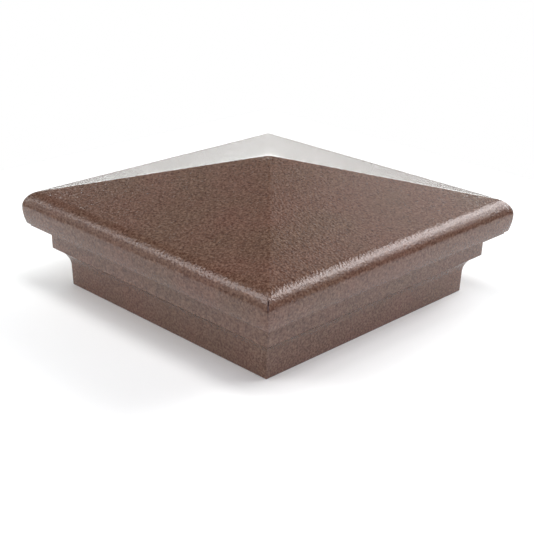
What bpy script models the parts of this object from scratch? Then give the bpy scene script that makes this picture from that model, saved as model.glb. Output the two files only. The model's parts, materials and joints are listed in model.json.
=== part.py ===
"""Fence post cap for a 4x4 timber post.

A cast pyramid roof with a bullnose rim is screwed down onto a moulded collar: ledge, fascia, cove and
skirt. The skirt sleeves over the post, whose top stops against four lugs inside the collar. Two
nylon-tipped set screws, in the back and the left wall, push the post against rubber pads in the others.

Metres, +Z up. The origin is the centre of the skirt's foot. Front is -Y, right is +X.
"""

import math

import bmesh
import bpy
from mathutils import Matrix, Vector

# Fit between separate pieces
GAP = 0.0003  # between pieces that rest on each other
SCREW_PLAY = 0.00025  # radial, round a screw in its hole

# Socket, which takes a 4x4 timber post, 89 mm square
SOCKET_HALF = 0.0460  # bare inner wall of the skirt
WALL = 0.0030
EMBED = 0.0005  # how far a cast block runs into the wall it grows from

# Collar moulding, as half widths and heights of its outer face. Its walls lean out a little, for the mould.
SKIRT_FOOT_HALF = 0.0489
SKIRT_TOP_HALF = 0.0491
COVE_Z = 0.0075  # where the cove springs from the skirt
FASCIA_FOOT_HALF = 0.0536
FASCIA_TOP_HALF = 0.05375
FASCIA_Z = 0.0139  # lower edge of the fascia
COLLAR_INNER_HALF = FASCIA_FOOT_HALF - WALL  # behind the fascia
SOFFIT_Z = 0.0221
LEDGE_HALF = 0.0587  # the ledge that the roof stands on
REGISTER_Z = 0.0246  # top of the raised step that centres the roof
FLARE_Z = 0.0105  # where the inner wall starts to follow the cove
FLARE_TOP_Z = 0.0159
COVE_STEPS = 8

# Roof rim, a bullnose
RIM_HALF = 0.0605  # widest point
RIM_Z = 0.0290  # height of the widest point
RIM_FOOT_Z = 0.0231
RIM_UPPER_RADIUS = 0.00615
RIM_LOWER_RADIUS = 0.0193
RIM_INNER_HALF = LEDGE_HALF - WALL
ROOF_SLOPE = math.radians(14.3)
RIM_UPPER_STEPS = 10
RIM_LOWER_STEPS = 4
RIM_INNER_STEPS = 6

# Lugs in the collar's corners, which stop the post and carry the roof screws
LUG_Z = 0.0205
LUG_THICKNESS = 0.0036
LUG_REACH = 0.0156  # from the collar's inner wall
LUG_CORNER_RADIUS = 0.0030
SCREW_OFFSET = 0.0415  # roof screw's X and Y from the centre

# Roof bosses and ribs
BOSS_RADIUS = 0.0045
BOSS_HOLE_CLEARANCE = 0.0010  # beyond the screw's end
RIB_THICKNESS = 0.0024
RIB_DEPTH = 0.0030
HUB_RADIUS = 0.0045  # where the ribs meet, under the apex
HUB_DEPTH = 0.0040

# M4x12 countersunk roof screw
ROOF_SCREW_RADIUS = 0.0020
ROOF_SCREW_LENGTH = 0.0120
ROOF_SCREW_HEAD_RADIUS = 0.0036
ROOF_SCREW_HEAD_RIM = 0.0002
COUNTERSINK_RADIUS = 0.00435
HEAD_RECESS = 0.00015  # head below the lug's face
CROSS_LENGTH = 0.0042
CROSS_WIDTH = 0.0009
CROSS_DEPTH = 0.0012

# M5x6 set screw with a swivelling nylon tip, below the post's top and behind the fascia
SET_SCREW_Z = 0.0174
SET_SCREW_RADIUS = 0.0025
SET_SCREW_LENGTH = 0.0060
SET_SCREW_CHAMFER = 0.0004
HEX_ACROSS_FLATS = 0.0025
HEX_DEPTH = 0.0025
TIP_RADIUS = 0.0018
TIP_THICKNESS = 0.0010
TIP_CHAMFER = 0.0003
STEM_RADIUS = 0.0008
STEM_LENGTH = 0.0014
SCREW_SEAT_FACE = 0.0448  # inner face of the cast seat that the set screw threads through
SCREW_SEAT_WIDTH = 0.0120
SCREW_SEAT_BOTTOM_Z = 0.0128
SCREW_SEAT_TOP_Z = 0.0229

# Rubber grip pads
PAD_WIDTH = 0.0160
PAD_HEIGHT = 0.0080
PAD_THICKNESS = 0.0010
PAD_BOTTOM_Z = 0.0012
PAD_OFFSET = 0.0270  # along the wall from its middle
PAD_CORNER = 0.0010

# Anticlockwise from above. Each side's angle turns the front wall onto it.
SIDES = {"front": 0, "right": 90, "back": 180, "left": 270}
CORNERS = {
    "front_right": (1, -1),
    "back_right": (1, 1),
    "back_left": (-1, 1),
    "front_left": (-1, -1),
}
SCREW_SIDES = ("back", "left")
ROUND = 32  # sides of a turned piece
CREASE_ANGLE = math.radians(20)  # sharper edges than this stay sharp


def material(name, colour, roughness, metallic=0.0):
    made = bpy.data.materials.new(name)
    made.use_nodes = True
    shader = made.node_tree.nodes["Principled BSDF"]
    shader.inputs["Base Color"].default_value = (*colour, 1.0)
    shader.inputs["Roughness"].default_value = roughness
    shader.inputs["Metallic"].default_value = metallic
    return made


def add_object(name, bm, finish=None):
    """Links the bmesh as an object. One with no finish is a cutter or an addition, left out of the build."""
    mesh = bpy.data.meshes.new(name)
    bmesh.ops.recalc_face_normals(bm, faces=bm.faces)
    bm.to_mesh(mesh)
    bm.free()
    made = bpy.data.objects.new(name, mesh)
    bpy.context.scene.collection.objects.link(made)
    if finish is None:
        made.hide_render = True
        made.display_type = "WIRE"
    else:
        mesh.materials.append(finish)
    return made


def shade_round(piece):
    piece.data.shade_smooth()
    piece.data.set_sharp_from_angle(angle=CREASE_ANGLE)


def combine(target, helper, operation):
    modifier = target.modifiers.new(f"{operation.lower()} {helper.name}", "BOOLEAN")
    modifier.operation = operation
    modifier.solver = "EXACT"
    modifier.object = helper


def arc(centre, radius, start, end, steps):
    """Points round a centre from one angle to another, in radians, both ends included."""
    return [
        (
            centre[0] + radius * math.cos(start + (end - start) * i / steps),
            centre[1] + radius * math.sin(start + (end - start) * i / steps),
        )
        for i in range(steps + 1)
    ]


def swept_square(bm, section, closed):
    """Sweeps a section of (half width, z) points round a square, mitred at its corners."""
    rings = []
    for half, z in section:
        if half == 0:
            rings.append([bm.verts.new((0, 0, z))] * 4)
        else:
            rings.append([bm.verts.new((x * half, y * half, z)) for x, y in CORNERS.values()])
    pairs = list(zip(rings, rings[1:]))
    if closed:
        pairs.append((rings[-1], rings[0]))
    for upper, lower in pairs:
        for k in range(4):
            n = (k + 1) % 4
            corners = [lower[k], lower[n], upper[n], upper[k]]
            bm.faces.new(list(dict.fromkeys(corners)))


def turned(bm, section, matrix=Matrix()):
    """Turns a section of (radius, z) points round Z, with a flat cap over its first and its last ring."""
    angles = [2 * math.pi * k / ROUND for k in range(ROUND)]
    rings = [
        [bm.verts.new(matrix @ Vector((radius * math.cos(a), radius * math.sin(a), z))) for a in angles]
        for radius, z in section
    ]
    for lower, upper in zip(rings, rings[1:]):
        for k in range(ROUND):
            n = (k + 1) % ROUND
            bm.faces.new([lower[k], lower[n], upper[n], upper[k]])
    bm.faces.new(rings[0])
    bm.faces.new(rings[-1])


def add_cylinder(bm, radius, start, end, sides=ROUND):
    """A cylinder or prism whose axis runs from one point to another."""
    start, end = Vector(start), Vector(end)
    along = end - start
    turn = along.to_track_quat("Z", "Y").to_matrix().to_4x4()
    bmesh.ops.create_cone(
        bm,
        cap_ends=True,
        segments=sides,
        radius1=radius,
        radius2=radius,
        depth=along.length,
        matrix=Matrix.Translation((start + end) / 2) @ turn,
    )


def add_box(bm, low, high, matrix=Matrix()):
    """A box between two opposite corners. Returns its vertices."""
    low, high = Vector(low), Vector(high)
    place = Matrix.Translation((low + high) / 2) @ Matrix.Diagonal((*(high - low), 1))
    return bmesh.ops.create_cube(bm, size=1, matrix=matrix @ place)["verts"]


def side_matrix(side):
    """Turns what is modelled on the front wall onto another wall."""
    return Matrix.Rotation(math.radians(SIDES[side]), 4, "Z")


def roof_plane_z(half, thickness=0.0):
    """Height of the roof's slope over a half width, or of its underside for a given wall thickness."""
    spring_half = RIM_HALF - RIM_UPPER_RADIUS * (1 - math.sin(ROOF_SLOPE))
    spring_z = RIM_Z + RIM_UPPER_RADIUS * math.cos(ROOF_SLOPE)
    rise = (spring_half - half) * math.tan(ROOF_SLOPE)
    return spring_z + rise - thickness / math.cos(ROOF_SLOPE)


def roof_section():
    """Down the outside from the apex, round the rim's foot, and up the inside."""
    upper_centre = (RIM_HALF - RIM_UPPER_RADIUS, RIM_Z)
    lower_centre = (RIM_HALF - RIM_LOWER_RADIUS, RIM_Z)
    spring = math.pi / 2 - ROOF_SLOPE
    foot = -math.asin((RIM_Z - RIM_FOOT_Z) / RIM_LOWER_RADIUS)
    outside = [(0, roof_plane_z(0))]
    outside += arc(upper_centre, RIM_UPPER_RADIUS, spring, 0, RIM_UPPER_STEPS)
    outside += arc(lower_centre, RIM_LOWER_RADIUS, 0, foot, RIM_LOWER_STEPS)[1:]
    inside = [(RIM_INNER_HALF, RIM_FOOT_Z), (RIM_INNER_HALF, REGISTER_Z + GAP)]
    inside += arc(upper_centre, RIM_UPPER_RADIUS - WALL, 0, spring, RIM_INNER_STEPS)
    inside += [(0, roof_plane_z(0, WALL))]
    return outside + inside


def screw_bosses():
    """Round posts that hang from the roof down to the collar's lugs."""
    bm = bmesh.new()
    top = roof_plane_z(SCREW_OFFSET - BOSS_RADIUS, WALL) + EMBED
    foot = LUG_Z + LUG_THICKNESS + GAP
    for x, y in CORNERS.values():
        at = (x * SCREW_OFFSET, y * SCREW_OFFSET)
        add_cylinder(bm, BOSS_RADIUS, (*at, foot), (*at, top))
    return add_object("roof bosses", bm)


def boss_holes():
    bm = bmesh.new()
    top = LUG_Z + HEAD_RECESS + ROOF_SCREW_LENGTH + BOSS_HOLE_CLEARANCE
    for x, y in CORNERS.values():
        at = (x * SCREW_OFFSET, y * SCREW_OFFSET)
        add_cylinder(bm, ROOF_SCREW_RADIUS + SCREW_PLAY, (*at, LUG_Z), (*at, top))
    return add_object("roof boss holes", bm)


def hub():
    """A round stub under the apex, which the four ribs run into."""
    bm = bmesh.new()
    middle = roof_plane_z(0, WALL)
    add_cylinder(bm, HUB_RADIUS, (0, 0, middle - HUB_DEPTH), (0, 0, middle + WALL / 3))
    return add_object("rib hub", bm)


def rib(corner):
    """A rib under one hip, from the hub to the boss, hanging below the roof's underside."""
    x, y = CORNERS[corner]
    near, far = HUB_RADIUS / 2, SCREW_OFFSET  # half widths at its ends, inside the hub and the boss
    across = Vector((-y, x, 0)).normalized() * RIB_THICKNESS / 2
    section = []
    for half, rise in ((near, WALL / 2), (far, WALL / 2), (far, -RIB_DEPTH), (near, -RIB_DEPTH)):
        section.append(Vector((x * half, y * half, roof_plane_z(half, WALL) + rise)))
    bm = bmesh.new()
    one, other = ([bm.verts.new(point + side) for point in section] for side in (-across, across))
    bm.faces.new(one)
    bm.faces.new(other)
    for k in range(len(section)):
        n = (k + 1) % len(section)
        bm.faces.new([one[k], one[n], other[n], other[k]])
    return add_object(f"rib, {corner}", bm)


def make_roof(finish):
    bm = bmesh.new()
    swept_square(bm, roof_section(), closed=False)
    roof = add_object("roof_shell", bm, finish)
    combine(roof, screw_bosses(), "UNION")
    combine(roof, hub(), "UNION")
    for corner in CORNERS:
        combine(roof, rib(corner), "UNION")
    combine(roof, boss_holes(), "DIFFERENCE")
    shade_round(roof)


def collar_section():
    """Down the outside from the register, round the skirt's foot, and up the inside."""
    run, rise = FASCIA_FOOT_HALF - SKIRT_TOP_HALF, FASCIA_Z - COVE_Z
    radius = (run**2 + rise**2) / (2 * run)  # springs upright from the skirt
    end = math.pi - math.asin(rise / radius)
    register_half = RIM_INNER_HALF - GAP
    ledge_z = RIM_FOOT_Z - GAP
    outside = [(register_half, REGISTER_Z), (register_half, ledge_z)]
    outside += [(LEDGE_HALF, ledge_z), (LEDGE_HALF, SOFFIT_Z), (FASCIA_TOP_HALF, SOFFIT_Z)]
    outside += arc((SKIRT_TOP_HALF + radius, COVE_Z), radius, end, math.pi, COVE_STEPS)
    outside += [(SKIRT_FOOT_HALF, 0)]
    inside = [(SOCKET_HALF, 0), (SOCKET_HALF, FLARE_Z)]
    inside += [(COLLAR_INNER_HALF, FLARE_TOP_Z), (COLLAR_INNER_HALF, REGISTER_Z)]
    return outside + inside


def lugs():
    """A block in each corner of the collar, with its free upright edge rounded."""
    bm = bmesh.new()
    near, far = COLLAR_INNER_HALF - LUG_REACH, COLLAR_INNER_HALF + EMBED
    for x, y in CORNERS.values():
        low = (min(x * near, x * far), min(y * near, y * far), LUG_Z)
        high = (max(x * near, x * far), max(y * near, y * far), LUG_Z + LUG_THICKNESS)
        free = [v for v in add_box(bm, low, high) if max(abs(v.co.x), abs(v.co.y)) < near + EMBED]
        edge = [e for e in free[0].link_edges if e.other_vert(free[0]) in free]
        bmesh.ops.bevel(bm, geom=edge, offset=LUG_CORNER_RADIUS, segments=5, affect="EDGES")
    return add_object("lugs", bm)


def countersinks():
    """Holes through the lugs, with a 45 degree seat for the screw's head in the underside."""
    bm = bmesh.new()
    hole = ROOF_SCREW_RADIUS + SCREW_PLAY
    section = [(COUNTERSINK_RADIUS + GAP, -GAP), (hole, COUNTERSINK_RADIUS - hole)]
    section += [(hole, LUG_THICKNESS + GAP)]
    for x, y in CORNERS.values():
        turned(bm, section, Matrix.Translation((x * SCREW_OFFSET, y * SCREW_OFFSET, LUG_Z)))
    return add_object("countersunk holes", bm)


def screw_seats():
    """Cast blocks behind the fascia that the set screws thread through."""
    bm = bmesh.new()
    half = SCREW_SEAT_WIDTH / 2
    low = (-half, -COLLAR_INNER_HALF - EMBED, SCREW_SEAT_BOTTOM_Z)
    high = (half, -SCREW_SEAT_FACE, SCREW_SEAT_TOP_Z)
    for side in SCREW_SIDES:
        add_box(bm, low, high, side_matrix(side))
    return add_object("set screw seats", bm)


def set_screw_holes():
    bm = bmesh.new()
    inner = Vector((0, WALL - SCREW_SEAT_FACE, SET_SCREW_Z))
    outer = Vector((0, -WALL - FASCIA_TOP_HALF, SET_SCREW_Z))
    for side in SCREW_SIDES:
        turn = side_matrix(side)
        add_cylinder(bm, SET_SCREW_RADIUS + SCREW_PLAY, turn @ inner, turn @ outer)
    return add_object("set screw holes", bm)


def make_collar(finish):
    bm = bmesh.new()
    swept_square(bm, collar_section(), closed=True)
    collar = add_object("collar", bm, finish)
    combine(collar, lugs(), "UNION")
    combine(collar, screw_seats(), "UNION")
    combine(collar, countersinks(), "DIFFERENCE")
    combine(collar, set_screw_holes(), "DIFFERENCE")
    shade_round(collar)


def make_roof_screw(corner, finish):
    """Local +Z runs from the head's face to the point."""
    cone_top = ROOF_SCREW_HEAD_RIM + ROOF_SCREW_HEAD_RADIUS - ROOF_SCREW_RADIUS
    point = ROOF_SCREW_RADIUS / 2
    section = [(ROOF_SCREW_HEAD_RADIUS, 0), (ROOF_SCREW_HEAD_RADIUS, ROOF_SCREW_HEAD_RIM)]
    section += [(ROOF_SCREW_RADIUS, cone_top), (ROOF_SCREW_RADIUS, ROOF_SCREW_LENGTH - point)]
    section += [(point, ROOF_SCREW_LENGTH)]
    bm = bmesh.new()
    turned(bm, section)
    screw = add_object(f"roof_screw_{corner}", bm, finish)
    x, y = CORNERS[corner]
    screw.location = (x * SCREW_OFFSET, y * SCREW_OFFSET, LUG_Z + HEAD_RECESS)
    for length, width in ((CROSS_LENGTH, CROSS_WIDTH), (CROSS_WIDTH, CROSS_LENGTH)):
        bm = bmesh.new()
        add_box(bm, (-length / 2, -width / 2, -GAP), (length / 2, width / 2, CROSS_DEPTH))
        slot = add_object(f"cross slot, {corner}", bm)
        slot.parent = screw
        combine(screw, slot, "DIFFERENCE")
    shade_round(screw)


def make_tip(side, finish):
    """A disc that bears on the post, with a stem that the set screw turns on."""
    section = [(TIP_RADIUS - TIP_CHAMFER, 0), (TIP_RADIUS, TIP_CHAMFER), (TIP_RADIUS, TIP_THICKNESS)]
    section += [(STEM_RADIUS, TIP_THICKNESS), (STEM_RADIUS, TIP_THICKNESS + STEM_LENGTH)]
    bm = bmesh.new()
    turned(bm, section)
    tip = add_object(f"set_screw_tip_{side}", bm, finish)
    shade_round(tip)
    return tip


def make_threaded_body(side, finish):
    """The screw itself: bored at its inner end for the tip's stem, with a hex socket in its outer end."""
    bore = STEM_RADIUS + GAP
    shoulder = SET_SCREW_RADIUS - SET_SCREW_CHAMFER
    section = [(bore, STEM_LENGTH), (bore, 0), (shoulder, 0), (SET_SCREW_RADIUS, SET_SCREW_CHAMFER)]
    section += [(SET_SCREW_RADIUS, SET_SCREW_LENGTH - SET_SCREW_CHAMFER), (shoulder, SET_SCREW_LENGTH)]
    bm = bmesh.new()
    turned(bm, section)
    screw = add_object(f"set_screw_{side}", bm, finish)
    bm = bmesh.new()
    bottom, mouth = SET_SCREW_LENGTH - HEX_DEPTH, SET_SCREW_LENGTH + GAP
    add_cylinder(bm, HEX_ACROSS_FLATS / math.sqrt(3), (0, 0, bottom), (0, 0, mouth), sides=6)
    socket = add_object(f"hex socket, {side}", bm)
    socket.parent = screw
    combine(screw, socket, "DIFFERENCE")
    shade_round(screw)
    return screw


def make_set_screw(side, steel, nylon):
    """Tip and screw on an empty that lies on their shared axis, with its +Z pointing out of the wall."""
    outward = side_matrix(side) @ Vector((0, -1, 0))
    axis = bpy.data.objects.new(f"set screw axis, {side}", None)
    bpy.context.scene.collection.objects.link(axis)
    axis.rotation_euler = outward.to_track_quat("Z", "Y").to_euler()
    axis.location = outward * SCREW_SEAT_FACE + Vector((0, 0, SET_SCREW_Z))
    tip = make_tip(side, nylon)
    tip.parent = axis
    screw = make_threaded_body(side, steel)
    screw.parent = axis
    screw.location = (0, 0, TIP_THICKNESS + GAP)


def make_grip_pad(side, number, offset, finish):
    bm = bmesh.new()
    size = Vector((PAD_WIDTH, PAD_THICKNESS, PAD_HEIGHT))
    add_box(bm, -size / 2, size / 2)
    across = [e for e in bm.edges if e.verts[0].co.y * e.verts[1].co.y < 0]
    bmesh.ops.bevel(bm, geom=across, offset=PAD_CORNER, segments=4, affect="EDGES")
    pad = add_object(f"grip_pad_{side}_{number}", bm, finish)
    face_to_middle = SOCKET_HALF - GAP - PAD_THICKNESS / 2
    middle = Vector((offset, -face_to_middle, PAD_BOTTOM_Z + PAD_HEIGHT / 2))
    pad.matrix_world = side_matrix(side) @ Matrix.Translation(middle)


def main():
    for old in list(bpy.data.objects):
        bpy.data.objects.remove(old)
    coat = material("bronze powder coat", (0.17, 0.11, 0.085), 0.45, 0.5)
    steel = material("stainless steel", (0.60, 0.59, 0.57), 0.30, 1.0)
    zinc = material("zinc plated steel", (0.66, 0.67, 0.68), 0.35, 1.0)
    rubber = material("EPDM rubber", (0.02, 0.02, 0.02), 0.85)
    nylon = material("white nylon", (0.80, 0.79, 0.74), 0.50)
    make_roof(coat)
    make_collar(coat)
    for corner in CORNERS:
        make_roof_screw(corner, zinc)
    for side in SCREW_SIDES:
        make_set_screw(side, steel, nylon)
    for side in SIDES:
        for number, offset in ((1, -PAD_OFFSET), (2, PAD_OFFSET)):
            make_grip_pad(side, number, offset, rubber)


main()
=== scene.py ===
"""Looks of the fence post cap: refined castings, threaded screws, pads, powder coat, studio and camera.

Metres, in the CAD's frame. Every piece stands for one CAD node and rides on that node's body.
"""

import json
import math

import bmesh
import bpy
from mathutils import Matrix, Vector, noise


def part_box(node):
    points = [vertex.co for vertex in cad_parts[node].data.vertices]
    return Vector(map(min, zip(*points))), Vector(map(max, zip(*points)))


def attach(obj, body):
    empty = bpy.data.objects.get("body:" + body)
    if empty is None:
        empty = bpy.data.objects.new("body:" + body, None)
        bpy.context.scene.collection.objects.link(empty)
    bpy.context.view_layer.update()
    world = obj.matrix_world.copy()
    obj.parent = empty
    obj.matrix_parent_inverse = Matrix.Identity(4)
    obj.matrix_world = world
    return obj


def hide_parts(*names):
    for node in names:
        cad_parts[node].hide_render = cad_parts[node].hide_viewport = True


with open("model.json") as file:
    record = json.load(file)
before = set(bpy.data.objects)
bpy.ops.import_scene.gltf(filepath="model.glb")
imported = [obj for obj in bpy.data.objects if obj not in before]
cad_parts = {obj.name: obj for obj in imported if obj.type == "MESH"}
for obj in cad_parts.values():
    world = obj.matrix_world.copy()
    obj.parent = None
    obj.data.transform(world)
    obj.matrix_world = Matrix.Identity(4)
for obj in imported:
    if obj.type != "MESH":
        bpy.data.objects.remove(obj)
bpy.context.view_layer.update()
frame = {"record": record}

RECORD = frame["record"]
BODY_OF = {node: body for body, nodes in RECORD["behaviour"]["bodies"].items() for node in nodes}
SLOT_OF = {entry["node"]: entry["material_slot"] for entry in RECORD["subparts"]}
MOUNTS = {mount["name"]: mount for mount in RECORD["mounts"]}

TURN_JOINT = next(joint for joint in RECORD["behaviour"]["joints"] if joint["type"] == "hinge")

MM = 0.001

# Sizes that the frame gives
ROOF_LOW, ROOF_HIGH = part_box("roof_shell")
COLLAR_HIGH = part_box("collar")[1]
RIM_HALF = ROOF_HIGH[0]
RIM_FOOT_Z = ROOF_LOW[2]
LEDGE_HALF = COLLAR_HIGH[0]
REGISTER_Z = COLLAR_HIGH[2]
LUG_Z = MOUNTS["post_stop"]["pos_m"][2]
PAD_FACE = MOUNTS["right_post_pad"]["pos_m"][0]

# Shape of the castings
WALL = 3.0 * MM
PAD_AND_ADHESIVE = 1.3 * MM
SOCKET_HALF = PAD_FACE + PAD_AND_ADHESIVE
JOINT_GAP = 0.02 * MM  # hairline between the roof and the ledge
ROOF_SLOPE = math.radians(14.3)
RIM_Z = 29.0 * MM
RIM_UPPER_RADIUS = 6.15 * MM
RIM_LOWER_RADIUS = 19.3 * MM
LEDGE_HEIGHT = 1.0 * MM
SOFFIT_Z = RIM_FOOT_Z - LEDGE_HEIGHT
FASCIA_TOP_HALF = 53.75 * MM
FASCIA_FOOT_HALF = 53.6 * MM
FASCIA_Z = 13.9 * MM
COVE_Z = 7.5 * MM
SKIRT_TOP_HALF = 49.1 * MM
SKIRT_FOOT_HALF = 48.9 * MM
INNER_HALF = FASCIA_FOOT_HALF - WALL
FLARE_Z = 10.5 * MM
FLARE_TOP_Z = 15.9 * MM
EDGE_RADIUS = 0.3 * MM  # the coat softens every cast edge
SEAM_EDGE_RADIUS = 0.12 * MM  # edges of the ledge and of the joint over it
ARRIS_RADIUS = 0.25 * MM  # outside corners, seen from above
HIP_RADIUS = 0.5 * MM
TIP_HALF = 0.5 * MM  # the blunted apex
TIP_DROP = 0.1 * MM
INNER_CORNER_RADIUS = 1.5 * MM
CAST_WAVE = 0.02 * MM  # unevenness of the cast faces
CAST_WAVE_LENGTH = 14 * MM
EMBED = 0.5 * MM  # how far one cast solid runs into another
LINE_TOP_Z = 32.4 * MM  # painted dark reflection down the rim's corners
LINE_FOOT_Z = 26.0 * MM
LINE_HALF_WIDTH = 0.2 * MM
LINE_SOFT_HALF_WIDTH = 0.44 * MM
LINE_TOP_FADE = 0.4 * MM
LINE_BODY = 0.5 * MM  # full strength under the top, before it fades to the foot

# Shape of the solids cast onto the inside
BOSS_RADIUS = 4.5 * MM
BOSS_SIDES = 48
CLEARANCE = 0.1 * MM  # round the screws
POINT_ROOM = 1.0 * MM  # past the point of a roof screw
RIB_THICKNESS = 2.4 * MM
RIB_DEPTH = 3.0 * MM
HUB_DEPTH = 4.0 * MM
LUG_THICKNESS = 3.6 * MM
LUG_REACH = 15.6 * MM
LUG_CORNER_RADIUS = 3.0 * MM
SEAT_HALF = 6.0 * MM
SEAT_FACE = abs(TURN_JOINT["pos_m"][1])
SEAT_BOTTOM_Z = 12.8 * MM
SEAT_TOP_Z = 22.9 * MM
CORNERS = {"front_right": (1, -1), "back_right": (1, 1), "back_left": (-1, 1), "front_left": (-1, -1)}
SIDE_ANGLES = {"front": 0, "right": 90, "back": 180, "left": 270}
SCREW_SIDES = ("back", "left")

# How finely the castings are divided
ARC_STEPS = 20
CORNER_STEPS = 6
SIDE_STEPS = 26
SLOPE_STEPS = 14
WELD_DISTANCE = 0.001 * MM

# Camera, as angles and distances from the object
CAMERA_AZIMUTH = math.radians(44.65)
CAMERA_ELEVATION = math.radians(22.53)
CAMERA_ROLL = math.radians(1.10)
CAMERA_DISTANCE = 387.7 * MM
CAMERA_TARGET_Z = 7.9 * MM
LENS_MM = 73.6
SENSOR_MM = 36.0


# ---- meshes ----


def link(name, bm, finish):
    """Turns the mesh into an object in the scene."""
    mesh = bpy.data.meshes.new(name)
    bmesh.ops.recalc_face_normals(bm, faces=bm.faces)
    bm.to_mesh(mesh)
    bm.free()
    made = bpy.data.objects.new(name, mesh)
    bpy.context.scene.collection.objects.link(made)
    if finish:
        mesh.materials.append(finish)
    return made


def adopt(piece, node, crease=30):
    """The piece takes the CAD node's place and body."""
    piece.data.shade_smooth()
    piece.data.set_sharp_from_angle(angle=math.radians(crease))
    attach(piece, BODY_OF[node])
    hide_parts(node)


def arc(centre, radius, start, end, steps):
    return [
        (
            centre[0] + radius * math.cos(start + (end - start) * i / steps),
            centre[1] + radius * math.sin(start + (end - start) * i / steps),
        )
        for i in range(steps + 1)
    ]


def rounded(before, corner, after, radius=EDGE_RADIUS, steps=4):
    """Points that round off a section's corner, from its neighbours' directions."""
    corner = Vector(corner)
    to_before = (Vector(before) - corner).normalized()
    to_after = (Vector(after) - corner).normalized()
    half_angle = to_before.angle(to_after) / 2
    setback = radius / math.tan(half_angle)
    start, end = corner + to_before * setback, corner + to_after * setback
    centre = corner + (to_before + to_after).normalized() * radius / math.sin(half_angle)
    spokes = [(start - centre).lerp(end - centre, i / steps).normalized() for i in range(steps + 1)]
    return [tuple(centre + spoke * radius) for spoke in spokes]


def square_ring(half, z, corner_radius):
    """One level of a casting: a square with rounded corners and evenly divided sides."""
    radius = min(corner_radius, 0.6 * half)  # the apex has less room
    inset = half - radius
    points = []
    for k in range(4):
        start = (k - 1) * math.pi / 2
        centre = Vector((inset if k in (0, 1) else -inset, inset if k in (1, 2) else -inset, 0))
        for j in range(CORNER_STEPS + 1):
            angle = start + (math.pi / 2) * j / CORNER_STEPS
            points.append(centre + Vector((math.cos(angle), math.sin(angle), 0)) * radius)
        following = Vector((inset if k in (3, 0) else -inset, inset if k in (0, 1) else -inset, 0))
        step_end = following + Vector((math.cos(angle), math.sin(angle), 0)) * radius
        for j in range(1, SIDE_STEPS):
            points.append(points[-1].lerp(step_end, 1 / (SIDE_STEPS - j + 1)))
    return [Vector((p.x, p.y, z)) for p in points]


def loft(rings, closed):
    """A surface through rings that have the same number of points. Open ends are capped."""
    bm = bmesh.new()
    levels = [[bm.verts.new(point) for point in ring] for ring in rings]
    count = len(levels[0])
    pairs = list(zip(levels, levels[1:]))
    if closed:
        pairs.append((levels[-1], levels[0]))
    for one, other in pairs:
        for k in range(count):
            n = (k + 1) % count
            bm.faces.new([one[k], one[n], other[n], other[k]])
    if not closed:
        bm.faces.new(levels[0])
        bm.faces.new(levels[-1])
    return bm


def add_cast_waves(bm):
    """Moves the surface in by a little, unevenly, so that flat cast faces aren't perfectly flat."""
    bmesh.ops.recalc_face_normals(bm, faces=bm.faces)
    bm.normal_update()
    for vert in bm.verts:
        wave = noise.noise(vert.co / CAST_WAVE_LENGTH) - 1
        vert.co += vert.normal * wave * CAST_WAVE


def block(low, high, matrix=Matrix()):
    bm = bmesh.new()
    low, high = Vector(low), Vector(high)
    place = Matrix.Translation((low + high) / 2) @ Matrix.Diagonal((*(high - low), 1))
    bmesh.ops.create_cube(bm, size=1, matrix=matrix @ place)
    return bm


def cylinder(radius, start, end):
    bm = bmesh.new()
    start, end = Vector(start), Vector(end)
    turn = (end - start).to_track_quat("Z", "Y").to_matrix().to_4x4()
    place = Matrix.Translation((start + end) / 2) @ turn
    bmesh.ops.create_cone(
        bm, cap_ends=True, segments=BOSS_SIDES, radius1=radius, radius2=radius,
        depth=(end - start).length, matrix=place,
    )
    return bm


def weld(mesh):
    """Joins vertices that a cut left almost on top of each other."""
    bm = bmesh.new()
    bm.from_mesh(mesh)
    bmesh.ops.remove_doubles(bm, verts=bm.verts, dist=WELD_DISTANCE)
    bm.to_mesh(mesh)
    bm.free()


def combine(target, bm, operation):
    """Joins a solid to the target, or cuts it out, and applies that."""
    helper = link("helper", bm, None)
    modifier = target.modifiers.new(operation, "BOOLEAN")
    modifier.operation = operation
    modifier.solver = "EXACT"
    modifier.object = helper
    evaluated = target.evaluated_get(bpy.context.evaluated_depsgraph_get())
    mesh = bpy.data.meshes.new_from_object(evaluated)
    weld(mesh)
    target.modifiers.clear()
    target.data = mesh
    bpy.data.objects.remove(helper)


# ---- castings ----


def slope_z(half, thickness=0.0):
    """Height of the roof's slope, or of its underside, over a half width."""
    spring_half = RIM_HALF - RIM_UPPER_RADIUS * (1 - math.sin(ROOF_SLOPE))
    spring_z = RIM_Z + RIM_UPPER_RADIUS * math.cos(ROOF_SLOPE)
    return spring_z + (spring_half - half) * math.tan(ROOF_SLOPE) - thickness / math.cos(ROOF_SLOPE)


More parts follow.
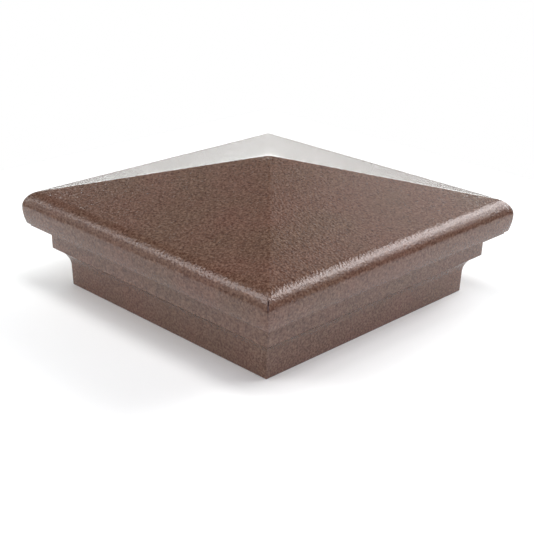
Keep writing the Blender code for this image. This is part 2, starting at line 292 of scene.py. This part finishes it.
def roof_rings():
    """Down the outside from the apex, round the rim's foot, and up the inside."""
    upper_centre = (RIM_HALF - RIM_UPPER_RADIUS, RIM_Z)
    lower_centre = (RIM_HALF - RIM_LOWER_RADIUS, RIM_Z)
    spring = math.pi / 2 - ROOF_SLOPE
    foot = -math.asin((RIM_Z - RIM_FOOT_Z) / RIM_LOWER_RADIUS)
    inner_half = LEDGE_HALF - WALL
    nose = arc(upper_centre, RIM_UPPER_RADIUS, spring, 0, ARC_STEPS)
    under = arc(lower_centre, RIM_LOWER_RADIUS, 0, foot, ARC_STEPS // 2)[1:]
    inner_foot = (inner_half, RIM_FOOT_Z)
    foot_edge = rounded(under[-2], under[-1], inner_foot, SEAM_EDGE_RADIUS)
    inner_edge = rounded(under[-1], inner_foot, (inner_half, REGISTER_Z))
    hollow = arc(upper_centre, RIM_UPPER_RADIUS - WALL, 0, spring, ARC_STEPS // 2)
    spring_half, inner_spring_half = nose[0][0], hollow[-1][0]
    rings = []
    for i in range(SLOPE_STEPS):
        half = TIP_HALF + (spring_half - TIP_HALF) * (i / SLOPE_STEPS)
        drop = TIP_DROP if i == 0 else 0
        rings.append(square_ring(half, slope_z(half) - drop, HIP_RADIUS))
    for i, (half, z) in enumerate(nose):
        blend = i / ARC_STEPS
        rings.append(square_ring(half, z, HIP_RADIUS + (ARRIS_RADIUS - HIP_RADIUS) * blend))
    rings += [square_ring(half, z, ARRIS_RADIUS) for half, z in under[:-1] + foot_edge]
    inside = inner_edge + [(inner_half, REGISTER_Z)] + hollow
    rings += [square_ring(half, z, INNER_CORNER_RADIUS) for half, z in inside]
    for i in range(1, SLOPE_STEPS + 1):
        half = inner_spring_half + (TIP_HALF - inner_spring_half) * i / SLOPE_STEPS
        rings.append(square_ring(half, slope_z(half, WALL), INNER_CORNER_RADIUS))
    return rings


def screw_positions():
    """Each roof screw's X and Y, from the middle of its CAD box."""
    places = {}
    for corner in CORNERS:
        low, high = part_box(f"roof_screw_{corner}")
        places[corner] = ((low[0] + high[0]) / 2, (low[1] + high[1]) / 2)
    return places


def add_rib(roof, x, y, reach):
    """A rib under the roof, from the hub to a screw boss."""
    near = BOSS_RADIUS / 2
    across = Vector((-y, x, 0)).normalized() * RIB_THICKNESS / 2
    section = [(near, WALL / 2), (reach, WALL / 2), (reach, -RIB_DEPTH), (near, -RIB_DEPTH)]
    points = [Vector((x * half, y * half, slope_z(half, WALL) + rise)) for half, rise in section]
    rings = [[point + side for point in points] for side in (-across, across)]
    combine(roof, loft(rings, closed=False), "UNION")


def make_roof(finish):
    bm = loft(roof_rings(), closed=False)
    add_cast_waves(bm)
    roof = link("roof", bm, finish)
    underside = slope_z(0, WALL)
    hub = cylinder(BOSS_RADIUS, (0, 0, underside - HUB_DEPTH), (0, 0, underside + EMBED))
    combine(roof, hub, "UNION")
    foot = LUG_Z + LUG_THICKNESS + JOINT_GAP
    for corner, (x, y) in screw_positions().items():
        top = slope_z(abs(x) - BOSS_RADIUS, WALL) + EMBED
        combine(roof, cylinder(BOSS_RADIUS, (x, y, foot), (x, y, top)), "UNION")
        add_rib(roof, *CORNERS[corner], abs(x))
    for corner, (x, y) in screw_positions().items():
        tip_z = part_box(f"roof_screw_{corner}")[1][2]
        hole = cylinder(ROOF_SCREW_RADIUS + CLEARANCE, (x, y, LUG_Z), (x, y, tip_z + POINT_ROOM))
        combine(roof, hole, "DIFFERENCE")
    adopt(roof, "roof_shell")


def collar_rings():
    """Down the outside from the register, round the skirt's foot, and up the inside."""
    run, rise = FASCIA_FOOT_HALF - SKIRT_TOP_HALF, FASCIA_Z - COVE_Z
    radius = (run**2 + rise**2) / (2 * run)
    end = math.pi - math.asin(rise / radius)
    cove = arc((SKIRT_TOP_HALF + radius, COVE_Z), radius, end, math.pi, ARC_STEPS)
    register_half = LEDGE_HALF - WALL - JOINT_GAP
    ledge_z = RIM_FOOT_Z - JOINT_GAP
    corners = [
        (register_half, REGISTER_Z), (register_half, ledge_z), (LEDGE_HALF, ledge_z),
        (LEDGE_HALF, SOFFIT_Z), (FASCIA_TOP_HALF, SOFFIT_Z), (FASCIA_FOOT_HALF, FASCIA_Z),
    ]
    foot_in, foot_out = (SOCKET_HALF, 0), (SKIRT_FOOT_HALF, 0)
    section = rounded((INNER_HALF, REGISTER_Z), corners[0], corners[1])
    section += [corners[1]]
    section += rounded(corners[1], corners[2], corners[3], SEAM_EDGE_RADIUS)
    section += rounded(corners[2], corners[3], corners[4], SEAM_EDGE_RADIUS)
    section += rounded(corners[3], corners[4], corners[5])
    section += rounded(corners[4], corners[5], cove[1], SEAM_EDGE_RADIUS)
    section += cove[1:]
    section += rounded(cove[-1], foot_out, foot_in)
    outside = [square_ring(half, z, ARRIS_RADIUS) for half, z in section]
    section = rounded(foot_out, foot_in, (SOCKET_HALF, FLARE_Z))
    section += [(SOCKET_HALF, FLARE_Z), (INNER_HALF, FLARE_TOP_Z)]
    section += rounded((INNER_HALF, FLARE_TOP_Z), (INNER_HALF, REGISTER_Z), corners[0])
    return outside + [square_ring(half, z, INNER_CORNER_RADIUS) for half, z in section]


def add_lug(collar, x, y):
    """A corner block, its free upright edge rounded."""
    near, far = INNER_HALF - LUG_REACH, INNER_HALF + EMBED
    centre = near + LUG_CORNER_RADIUS
    plan = [(far, near), (far, far), (near, far)]
    plan += arc((centre, centre), LUG_CORNER_RADIUS, math.pi, 1.5 * math.pi, CORNER_STEPS)
    levels = (LUG_Z, LUG_Z + LUG_THICKNESS)
    rings = [[Vector((x * a, y * b, z)) for a, b in plan] for z in levels]
    combine(collar, loft(rings, closed=False), "UNION")


def cut_countersink(collar, x, y):
    """A 45 degree seat for the screw's head, in the lug's underside."""
    hole = ROOF_SCREW_RADIUS + CLEARANCE
    section = [(COUNTERSINK_RADIUS + EMBED, -EMBED), (hole, COUNTERSINK_RADIUS - hole)]
    section += [(hole, LUG_THICKNESS + EMBED)]
    rings = [[Vector((x, y, LUG_Z + z)) + p for p in circle(radius, 0)] for radius, z in section]
    combine(collar, loft(rings, closed=False), "DIFFERENCE")


def make_collar(finish):
    bm = loft(collar_rings(), closed=True)
    add_cast_waves(bm)
    collar = link("collar_moulding", bm, finish)
    for corner, (x, y) in screw_positions().items():
        add_lug(collar, *CORNERS[corner])
        cut_countersink(collar, x, y)
    for side in SCREW_SIDES:
        turn = Matrix.Rotation(math.radians(SIDE_ANGLES[side]), 4, "Z")
        low = (-SEAT_HALF, -INNER_HALF - EMBED, SEAT_BOTTOM_Z)
        combine(collar, block(low, (SEAT_HALF, -SEAT_FACE, SEAT_TOP_Z), turn), "UNION")
        inner = turn @ Vector((0, -SEAT_FACE + WALL, SET_SCREW_Z))
        outer = turn @ Vector((0, -FASCIA_TOP_HALF - WALL, SET_SCREW_Z))
        combine(collar, cylinder(SET_SCREW_RADIUS + CLEARANCE, inner, outer), "DIFFERENCE")
    adopt(collar, "collar")


# ---- screws ----

ROUND = 48
ROOF_SCREW_RADIUS = 2.0 * MM
ROOF_SCREW_HEAD_RADIUS = 3.6 * MM
ROOF_SCREW_PITCH = 0.7 * MM
COUNTERSINK_RADIUS = 4.35 * MM
SET_SCREW_RADIUS = 2.5 * MM
SET_SCREW_PITCH = 0.8 * MM
SET_SCREW_Z = TURN_JOINT["pos_m"][2]
THREAD_SHARE = 0.6  # thread depth over pitch
CREST_HALF = 1 / 11  # half of the crest's flat, over pitch
FLANK = 4 / 11  # one flank, over pitch
ROWS_PER_TURN = 10
HEX_APOTHEM = 1.25 * MM
HEX_MOUTH = 1.18 * HEX_APOTHEM  # just clear of the hexagon's corners
HEX_DEPTH = 2.5 * MM
CROSS_REACH = 2.1 * MM
CROSS_HALF_WIDTH = 0.45 * MM
CROSS_DEPTH = 1.5 * MM
STEM_BORE = 1.0 * MM
STEM_BORE_DEPTH = 1.4 * MM
CHAMFER = 0.1 * MM
POINT_RADIUS = 0.1 * MM  # where a cone would otherwise end in a single point
SOCKET_CHAMFER = 0.15 * MM
DRILL_POINT = 0.4 * MM  # cone at the bottom of the hex socket
HEAD_EDGE = 0.2 * MM  # cylindrical edge of the countersunk head
HEAD_EDGE_RADIUS = 0.09 * MM
UNDER_HEAD = 0.3 * MM  # plain shank between the head's cone and the thread
POINT_LENGTH = 0.4 * MM
TIP_RADIUS = 1.8 * MM
TIP_THICKNESS = 1.0 * MM
TIP_FACE_EDGE = 0.3 * MM  # radii of the nylon tip's edges
TIP_BACK_EDGE = 0.12 * MM
STEM_RADIUS = 0.8 * MM
STEM_EDGE = 0.2 * MM

ADHESIVE = 0.3 * MM
ADHESIVE_INSET = 0.4 * MM
PAD_CORNER_RADIUS = 1.0 * MM
PAD_EDGE = 0.25 * MM
PAD_EDGE_STEPS = 4


def ring_of(z, radius_at):
    """A ring whose radius depends on the angle."""
    angles = [2 * math.pi * k / ROUND for k in range(ROUND)]
    return [Vector((radius_at(a) * math.cos(a), radius_at(a) * math.sin(a), z)) for a in angles]


def circle(radius, z):
    return ring_of(z, lambda angle: radius)


def hexagon(apothem, z):
    return ring_of(z, lambda a: apothem / math.cos((a + math.pi / 6) % (math.pi / 3) - math.pi / 6))


def cross(reach, half_width, z):
    def radius_at(angle):
        off_arm = abs((angle + math.pi / 4) % (math.pi / 2) - math.pi / 4)
        return min(reach, half_width / max(math.sin(off_arm), half_width / reach))

    return ring_of(z, radius_at)


def thread(radius, pitch, start, end):
    """Rings of a right-hand helical thread, which runs out over half a pitch at both ends."""
    depth = THREAD_SHARE * pitch
    rows = round((end - start) / pitch * ROWS_PER_TURN)
    rings = []
    for i in range(rows + 1):
        z = start + (end - start) * i / rows
        run_out = min(1, (z - start) / (pitch / 2), (end - z) / (pitch / 2))

        def radius_at(angle, z=z, run_out=run_out):
            phase = (z / pitch - angle / (2 * math.pi)) % 1
            crest = min(1, max(0, 1 + (CREST_HALF - abs(phase - 0.5)) / FLANK))
            return radius - depth * (1 - crest * run_out)

        rings.append(ring_of(z, radius_at))
    return rings


def length_on_axis(side, low, high):
    """The set screws stand along X or Y."""
    axis = 1 if side == "back" else 0
    return high[axis] - low[axis]


def make_set_screw(side, finish):
    """Local +Z points out of the wall. The hex socket is in the outer end, the bore in the inner one."""
    low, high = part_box(f"set_screw_{side}")
    length = length_on_axis(side, low, high)
    root = SET_SCREW_RADIUS - THREAD_SHARE * SET_SCREW_PITCH
    floor_z = length - HEX_DEPTH
    rings = [circle(STEM_BORE, STEM_BORE_DEPTH), circle(STEM_BORE, 0), circle(root - CHAMFER, 0)]
    rings += thread(SET_SCREW_RADIUS, SET_SCREW_PITCH, CHAMFER, length - CHAMFER)
    rings += [circle(root - CHAMFER, length), circle(HEX_MOUTH, length)]
    rings += [hexagon(HEX_APOTHEM, length - SOCKET_CHAMFER), hexagon(HEX_APOTHEM, floor_z)]
    rings += [circle(POINT_RADIUS, floor_z - DRILL_POINT)]
    screw = link(f"set_screw_body_{side}", loft(rings, closed=False), finish)
    place_on_axis(screw, side, low, high)
    adopt(screw, f"set_screw_{side}", crease=40)


def place_on_axis(piece, side, low, high):
    """Stands a piece modelled along +Z on a set screw's axis, its inner end where the CAD node's is."""
    outward = Matrix.Rotation(math.radians(SIDE_ANGLES[side]), 3, "Z") @ Vector((0, -1, 0))
    middle = (Vector(low) + Vector(high)) / 2
    half_length = length_on_axis(side, low, high) / 2
    turn = outward.to_track_quat("Z", "Y").to_matrix().to_4x4()
    piece.data.transform(Matrix.Translation(middle - outward * half_length) @ turn)


def make_tip(side, finish):
    """A nylon disc with rounded edges, on the stem that the set screw turns on."""
    low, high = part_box(f"set_screw_tip_{side}")
    length = length_on_axis(side, low, high)
    rim, shoulder = (TIP_RADIUS, 0), (TIP_RADIUS, TIP_THICKNESS)
    neck, stem_end = (STEM_RADIUS, TIP_THICKNESS), (STEM_RADIUS, length)
    section = rounded((0, 0), rim, shoulder, TIP_FACE_EDGE)
    section += rounded(rim, shoulder, neck, TIP_BACK_EDGE)
    section += [neck]
    section += rounded(neck, stem_end, (0, length), STEM_EDGE)
    tip = link(f"nylon_tip_{side}", loft([circle(r, z) for r, z in section], closed=False), finish)
    place_on_axis(tip, side, low, high)
    adopt(tip, f"set_screw_tip_{side}")


def make_roof_screw(corner, finish):
    """Local +Z runs from the head's face to the point. The cross recess narrows as it goes in."""
    low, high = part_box(f"roof_screw_{corner}")
    length = high[2] - low[2]
    head, shank = ROOF_SCREW_HEAD_RADIUS, ROOF_SCREW_RADIUS
    cone_top = HEAD_EDGE + head - shank
    rings = [circle(POINT_RADIUS, CROSS_DEPTH)]
    rings += [cross(0.35 * CROSS_REACH, 0.5 * CROSS_HALF_WIDTH, CROSS_DEPTH - CHAMFER)]
    rings += [cross(CROSS_REACH, CROSS_HALF_WIDTH, CHAMFER)]
    rings += [cross(1.06 * CROSS_REACH, 1.25 * CROSS_HALF_WIDTH, 0)]
    rings += [circle(r, z) for r, z in rounded((0, 0), (head, 0), (head, HEAD_EDGE), HEAD_EDGE_RADIUS)]
    rings += [circle(head, HEAD_EDGE), circle(shank, cone_top)]
    root = shank - THREAD_SHARE * ROOF_SCREW_PITCH
    rings += thread(shank, ROOF_SCREW_PITCH, cone_top + UNDER_HEAD, length - POINT_LENGTH)
    rings += [circle(0.8 * root, length)]
    screw = link(f"countersunk_screw_{corner}", loft(rings, closed=False), finish)
    x, y = screw_positions()[corner]
    screw.data.transform(Matrix.Translation((x, y, low[2])))
    adopt(screw, f"roof_screw_{corner}", crease=40)


def pad_section(depth):
    """How far a pad is inset from its outline at each level, from its face to the wall."""
    back = depth - ADHESIVE
    turns = [math.pi / 2 * i / PAD_EDGE_STEPS for i in range(1, PAD_EDGE_STEPS + 1)]
    section = [(3 * PAD_EDGE, 0), (PAD_EDGE, 0)]
    section += [(PAD_EDGE * (1 - math.sin(turn)), PAD_EDGE * (1 - math.cos(turn))) for turn in turns]
    return section + [(0, back), (ADHESIVE_INSET, back), (ADHESIVE_INSET, depth)]


def make_pad(node, finish):
    """A moulded rubber pad with rounded corners and edges, and its sheet of adhesive on the wall."""
    low, high = (Vector(corner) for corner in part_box(node))
    size, middle = high - low, (low + high) / 2
    thin = 0 if size.x < size.y else 1
    outward = math.copysign(1, middle[thin])
    rings = []
    for inset, level in pad_section(SOCKET_HALF - PAD_FACE):
        half_width, half_height = size[1 - thin] / 2 - inset, size.z / 2 - inset
        radius = PAD_CORNER_RADIUS - min(inset, 0.8 * PAD_CORNER_RADIUS)
        ring = []
        for sx, sz, start in ((1, 1, 0), (-1, 1, 90), (-1, -1, 180), (1, -1, 270)):
            for j in range(CORNER_STEPS + 1):
                angle = math.radians(start + 90 * j / CORNER_STEPS)
                point = Vector()
                point[thin] = outward * (PAD_FACE + level)
                along = sx * (half_width - radius) + radius * math.cos(angle)
                point[1 - thin] = middle[1 - thin] + along
                point.z = middle.z + sz * (half_height - radius) + radius * math.sin(angle)
                ring.append(point)
        rings.append(ring)
    pad = link(f"rubber_{node}", loft(rings, closed=False), finish)
    adopt(pad, node)


# ---- materials ----

GRAINS_PER_METRE = 1350
FLECKS_PER_METRE = 2600
CLOUDS_PER_METRE = 45
WRINKLES_PER_METRE = 1250
WRINKLE_HEIGHT = 0.3 * MM
COAT_DARK = (0.060, 0.026, 0.018)
COAT_BROWN = (0.119, 0.063, 0.044)
COAT_PALE = (0.191, 0.113, 0.082)
# colour of the painted dark reflection down the rim's corners
PAINTED_REFLECTION_COLOUR = (0.022, 0.007, 0.007, 1)
COAT_ROUGHNESS = (0.16, 0.24)


def nodes_for(name):
    """A new material, its node tree and its shader."""
    material = bpy.data.materials.new(name)
    material.use_nodes = True
    tree = material.node_tree
    return material, tree, tree.nodes["Principled BSDF"]


def place_texture(tree, kind, scale, **values):
    """A 3-D texture in object space, so its grain has a real size. Scale is in repeats per metre."""
    texture = tree.nodes.new(kind)
    texture.inputs["Scale"].default_value = scale
    for name, value in values.items():
        texture.inputs[name.replace("_", " ")].default_value = value
    coordinates = tree.nodes.new("ShaderNodeTexCoord")
    tree.links.new(coordinates.outputs["Object"], texture.inputs["Vector"])
    return texture


def ramp(tree, source, stops):
    """Colours a value. Each stop is a position and a colour."""
    node = tree.nodes.new("ShaderNodeValToRGB")
    elements = node.color_ramp.elements
    while len(elements) < len(stops):
        elements.new(0.5)
    for element, (position, colour) in zip(elements, stops):
        element.position = position
        element.color = (*colour, 1)
    tree.links.new(source, node.inputs["Fac"])
    return node.outputs["Color"]


def multiply(tree, one, other):
    node = tree.nodes.new("ShaderNodeMix")
    node.data_type = "RGBA"
    node.blend_type = "MULTIPLY"
    node.inputs["Factor"].default_value = 1.0
    tree.links.new(one, node.inputs["A"])
    tree.links.new(other, node.inputs["B"])
    return node.outputs["Result"]


def bump(tree, height, distance, strength):
    node = tree.nodes.new("ShaderNodeBump")
    node.inputs["Distance"].default_value = distance
    node.inputs["Strength"].default_value = strength
    tree.links.new(height, node.inputs["Height"])
    return node.outputs["Normal"]


def calculate(tree, operation, one, other=0.0):
    """A math node. Either operand is a socket or a plain number."""
    node = tree.nodes.new("ShaderNodeMath")
    node.operation = operation
    for socket, operand in zip(node.inputs, (one, other)):
        if isinstance(operand, float):
            socket.default_value = operand
        else:
            tree.links.new(operand, socket)
    return node.outputs["Value"]


def fade(tree, value, start, end):
    """Runs from 1 at the start to 0 at the end, and stays there."""
    node = tree.nodes.new("ShaderNodeMapRange")
    tree.links.new(value, node.inputs["Value"])
    node.inputs["From Min"].default_value = start
    node.inputs["From Max"].default_value = end
    node.inputs["To Min"].default_value = 1.0
    node.inputs["To Max"].default_value = 0.0
    return node.outputs["Result"]


def painted_corner_reflection(tree):
    """1 on the thin line down each corner of the rim, where a dark reflection is painted into the coat's
    colour, and 0 elsewhere.
    """
    coordinates = tree.nodes.new("ShaderNodeTexCoord")
    split = tree.nodes.new("ShaderNodeSeparateXYZ")
    tree.links.new(coordinates.outputs["Object"], split.inputs["Vector"])
    across = calculate(tree, "ABSOLUTE", split.outputs["X"])
    along = calculate(tree, "ABSOLUTE", split.outputs["Y"])
    off_corner = calculate(tree, "ABSOLUTE", calculate(tree, "SUBTRACT", across, along))
    narrow = fade(tree, off_corner, LINE_HALF_WIDTH, LINE_SOFT_HALF_WIDTH)
    under_top = fade(tree, split.outputs["Z"], LINE_TOP_Z, LINE_TOP_Z + LINE_TOP_FADE)
    over_foot = fade(tree, split.outputs["Z"], LINE_TOP_Z - LINE_BODY, LINE_FOOT_Z)
    return calculate(tree, "MULTIPLY", narrow, calculate(tree, "MULTIPLY", under_top, over_foot))


def powder_coat():
    """Bronze-brown powder coat: wrinkle, flecks, faint clouds, and a painted dark reflection down the
    rim's corners.
    """
    material, tree, shader = nodes_for("bronze powder coat")
    grain = place_texture(tree, "ShaderNodeTexNoise", GRAINS_PER_METRE, Detail=3.0, Roughness=0.6)
    fleck = place_texture(tree, "ShaderNodeTexVoronoi", FLECKS_PER_METRE, Randomness=1.0)
    cloud = place_texture(tree, "ShaderNodeTexNoise", CLOUDS_PER_METRE, Detail=2.0)
    body = ramp(tree, grain.outputs["Fac"], [(0.32, COAT_DARK), (0.50, COAT_BROWN), (0.68, COAT_PALE)])
    redder, greener = (1.04, 0.98, 0.98), (0.97, 1.01, 0.97)
    tint = ramp(tree, cloud.outputs["Fac"], [(0.36, redder), (0.64, greener)])
    darker, plain, brighter = (0.88, 0.88, 0.88), (1.0, 1.0, 1.0), (1.18, 1.17, 1.16)
    flecks = ramp(tree, fleck.outputs["Color"], [(0.30, darker), (0.70, plain), (0.95, brighter)])
    clouded = multiply(tree, body, tint)
    flecked = multiply(tree, clouded, flecks)
    # the painted dark reflection at the rim's corners is mixed into the coat's colour here
    dark = tree.nodes.new("ShaderNodeMix")
    dark.data_type = "RGBA"
    dark.inputs["B"].default_value = PAINTED_REFLECTION_COLOUR
    tree.links.new(painted_corner_reflection(tree), dark.inputs["Factor"])
    tree.links.new(flecked, dark.inputs["A"])
    tree.links.new(dark.outputs["Result"], shader.inputs["Base Color"])
    wrinkle = place_texture(tree, "ShaderNodeTexNoise", WRINKLES_PER_METRE, Detail=1.0, Roughness=0.5)
    normal = bump(tree, wrinkle.outputs["Fac"], WRINKLE_HEIGHT, 0.44)
    tree.links.new(normal, shader.inputs["Normal"])
    low, high = COAT_ROUGHNESS
    rough = ramp(tree, grain.outputs["Fac"], [(0.35, (low,) * 3), (0.65, (high,) * 3)])
    tree.links.new(rough, shader.inputs["Roughness"])
    shader.inputs["IOR"].default_value = 1.5
    shader.inputs["Specular Tint"].default_value = (1.0, 0.92, 0.92, 1)
    return material


def metal(name, colour, roughness, streak):
    """Turned or plated steel, with fine machining marks and small differences in shine."""
    material, tree, shader = nodes_for(name)
    marks = place_texture(tree, "ShaderNodeTexNoise", streak, Detail=4.0, Roughness=0.7)
    dull = tuple(0.72 * channel for channel in colour)
    tone = ramp(tree, marks.outputs["Fac"], [(0.3, dull), (0.7, colour)])
    tree.links.new(tone, shader.inputs["Base Color"])
    low, high = roughness
    shine = ramp(tree, marks.outputs["Fac"], [(0.3, (high,) * 3), (0.7, (low,) * 3)])
    tree.links.new(shine, shader.inputs["Roughness"])
    tree.links.new(bump(tree, marks.outputs["Fac"], 0.02 * MM, 0.4), shader.inputs["Normal"])
    shader.inputs["Metallic"].default_value = 1.0
    return material


def soft(name, colour, worn, roughness, scale, depth):
    """Rubber or nylon, with a fine moulded grain."""
    material, tree, shader = nodes_for(name)
    grain = place_texture(tree, "ShaderNodeTexNoise", scale, Detail=5.0, Roughness=0.65)
    tone = ramp(tree, grain.outputs["Fac"], [(0.35, colour), (0.7, worn)])
    tree.links.new(tone, shader.inputs["Base Color"])
    low, high = roughness
    shine = ramp(tree, grain.outputs["Fac"], [(0.3, (low,) * 3), (0.7, (high,) * 3)])
    tree.links.new(shine, shader.inputs["Roughness"])
    tree.links.new(bump(tree, grain.outputs["Fac"], depth, 0.6), shader.inputs["Normal"])
    return material


# ---- studio ----

LIGHT_DISTANCE = 2.5
SHEET_HALF = 0.18
SHEET_DROP = 0.05 * MM  # keeps the sheet clear of the skirt's foot
NEUTRAL = (1.0, 1.0, 1.0)
COOL = (0.95, 1.0, 1.0)
BLUE = (0.98, 0.98, 1.2)
FLOOR_COLOUR = (0.95, 0.95, 0.945, 1)
ROOM_COLOUR = (0.9, 0.95, 1, 1)
ROOM_STRENGTH = 0.02


def direction(azimuth, elevation):
    """From the object, with the azimuth measured from the camera's own, to its right."""
    angle = CAMERA_AZIMUTH + math.radians(azimuth)
    rise = math.radians(elevation)
    return Vector((math.sin(angle) * math.cos(rise), -math.cos(angle) * math.cos(rise), math.sin(rise)))


def softbox(name, azimuth, elevation, span, height, radiance, colour=NEUTRAL):
    """A flat light that faces the object. Span and height are angles, and the camera doesn't see it."""
    data = bpy.data.lights.new(name, "AREA")
    data.shape = "RECTANGLE"
    level = max(math.cos(math.radians(elevation)), 0.2)  # a span is an angle of azimuth
    data.size = 2 * LIGHT_DISTANCE * math.tan(math.radians(span / 2)) * level
    data.size_y = 2 * LIGHT_DISTANCE * math.tan(math.radians(height / 2))
    data.energy = radiance * math.pi * data.size * data.size_y
    data.color = colour
    light = bpy.data.objects.new(name, data)
    outward = direction(azimuth, elevation)
    light.location = outward * LIGHT_DISTANCE
    light.rotation_euler = outward.to_track_quat("Z", "Y").to_euler()
    light.visible_camera = False
    bpy.context.scene.collection.objects.link(light)


def make_floor():
    """A square pale sheet, in line with the cap. Past its edges the reflections are dark."""
    bm = bmesh.new()
    bmesh.ops.create_grid(bm, x_segments=8, y_segments=8, size=SHEET_HALF)
    material, _, shader = nodes_for("pale floor")
    shader.inputs["Base Color"].default_value = FLOOR_COLOUR
    shader.inputs["Roughness"].default_value = 0.9
    floor = link("floor", bm, material)
    floor.location.z = -SHEET_DROP


def make_world():
    """Pale to the camera, and dim in reflections, like a room with its lamps off."""
    world = bpy.data.worlds.new("studio")
    bpy.context.scene.world = world
    world.use_nodes = True
    tree = world.node_tree
    seen = tree.nodes["Background"]
    seen.inputs["Color"].default_value = (1, 1, 1, 1)
    seen.inputs["Strength"].default_value = 1.0
    dim = tree.nodes.new("ShaderNodeBackground")
    dim.inputs["Color"].default_value = ROOM_COLOUR
    dim.inputs["Strength"].default_value = ROOM_STRENGTH
    path = tree.nodes.new("ShaderNodeLightPath")
    choose = tree.nodes.new("ShaderNodeMixShader")
    tree.links.new(path.outputs["Is Camera Ray"], choose.inputs["Fac"])
    tree.links.new(dim.outputs["Background"], choose.inputs[1])
    tree.links.new(seen.outputs["Background"], choose.inputs[2])
    tree.links.new(choose.outputs["Shader"], tree.nodes["World Output"].inputs["Surface"])


def make_lights():
    """Softboxes at both sides, bright walls behind, lamps overhead, and weak fill from the front.

    The numbers are azimuth, elevation, span and height in degrees, then radiance.
    """
    softbox("right softbox", 112, 37, 50, 15, 7.8)
    softbox("right softbox lower", 110, 23, 46, 16, 1.9)
    softbox("left softbox", -82, 34, 40, 23, 4.8)
    softbox("left wall", -98, 8, 44, 22, 0.7)
    softbox("rear high left", -163, 33, 30, 18, 0.15)
    softbox("rear high right", 152, 33, 30, 18, 0.85, COOL)
    softbox("top lamp", 0, 88, 34, 14, 12.0)
    softbox("high left", -90, 70, 45, 20, 5.8)
    softbox("high right", 45, 70, 45, 20, 8.0)
    for azimuth, radiance, colour in ((-45, 1.6, NEUTRAL), (0, 2.0, NEUTRAL), (45, 2.8, BLUE)):
        softbox("front fill", azimuth, 16, 45, 20, radiance, colour)
    softbox("rear wall", 180, 10, 45, 20, 4.3, COOL)
    softbox("rear wall right", 135, 10, 45, 20, 8.7, COOL)
    softbox("rear wall left", -135, 10, 45, 20, 4.6, COOL)


def make_camera():
    data = bpy.data.cameras.new("camera")
    data.lens = LENS_MM
    data.sensor_width = SENSOR_MM
    data.dof.use_dof = False
    camera = bpy.data.objects.new("camera", data)
    back = direction(0, math.degrees(CAMERA_ELEVATION))
    right = (-back).cross(Vector((0, 0, 1))).normalized()
    up = right.cross(-back)
    level = Matrix((right, up, back)).transposed().to_4x4()
    roll = Matrix.Rotation(CAMERA_ROLL, 4, "Z")
    target = Vector((0, 0, CAMERA_TARGET_Z))
    camera.matrix_world = Matrix.Translation(target + back * CAMERA_DISTANCE) @ level @ roll
    bpy.context.scene.collection.objects.link(camera)
    bpy.context.scene.camera = camera
    bpy.context.scene.view_settings.view_transform = "Standard"


def main():
    coat = powder_coat()
    make_roof(coat)
    make_collar(coat)
    zinc = metal("zinc plated steel", (0.66, 0.67, 0.68), (0.25, 0.42), 900)
    for corner in CORNERS:
        make_roof_screw(corner, zinc)
    steel = metal("stainless steel", (0.60, 0.59, 0.57), (0.18, 0.34), 1500)
    ivory, white = (0.78, 0.77, 0.72), (0.84, 0.83, 0.78)
    nylon = soft("white nylon", ivory, white, (0.35, 0.50), 1200, 0.02 * MM)
    for side in SCREW_SIDES:
        make_set_screw(side, steel)
        make_tip(side, nylon)
    black, dusty = (0.012, 0.012, 0.012), (0.035, 0.035, 0.036)
    rubber = soft("EPDM rubber", black, dusty, (0.75, 0.92), 1600, 0.08 * MM)
    for node in SLOT_OF:
        if node.startswith("grip_pad"):
            make_pad(node, rubber)
    make_floor()
    make_world()
    make_lights()
    make_camera()


main()

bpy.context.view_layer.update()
